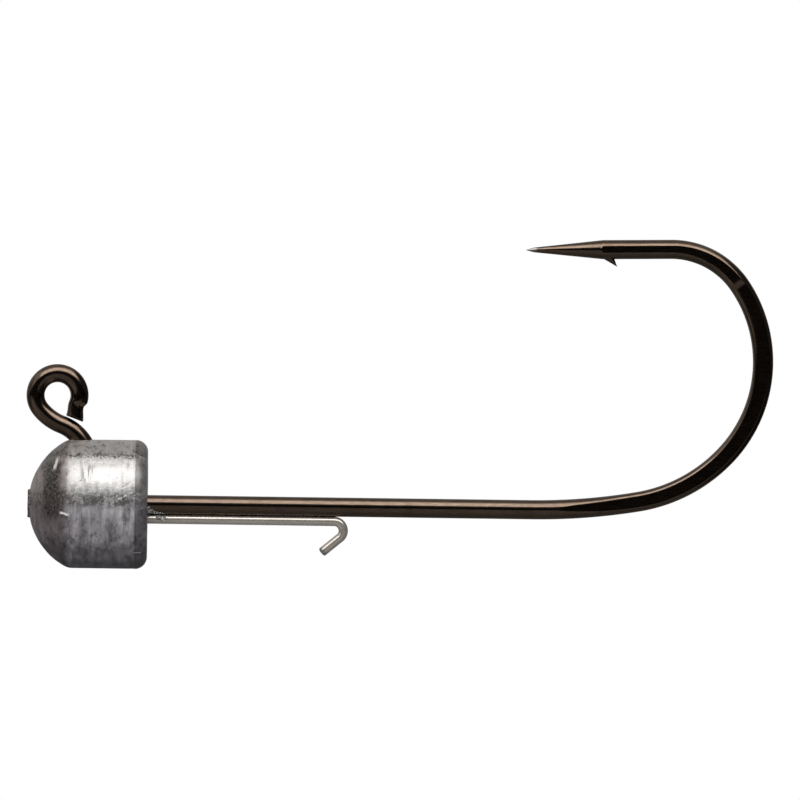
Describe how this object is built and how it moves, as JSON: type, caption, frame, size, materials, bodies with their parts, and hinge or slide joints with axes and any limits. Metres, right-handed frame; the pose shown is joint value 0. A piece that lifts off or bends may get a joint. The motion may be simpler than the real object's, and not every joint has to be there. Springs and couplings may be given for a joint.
{
  "type": "jig head",
  "caption": "Blunt domed lead head cast on a long-shank 60 degree jig hook with a closed line eye, a barbed point and a wire bait keeper under the shank.",
  "frame": {"origin": "point where the axis of the hook's shank leaves the flat rear face of the lead head", "axes": "+X runs back along the shank from the head to the bend, +Z is the side of the line eye and the point, and the hook lies in the plane Y = 0"},
  "size_m": [0.0373, 0.0064, 0.0168],
  "materials": {
    "cast_lead": "satin",
    "hook_wire": "gloss",
    "keeper_wire": "satin"
  },
  "bodies": {
    "root": {"lead_head": "cast_lead", "hook": "hook_wire", "bait_keeper": "keeper_wire"}
  },
  "joints": []
}
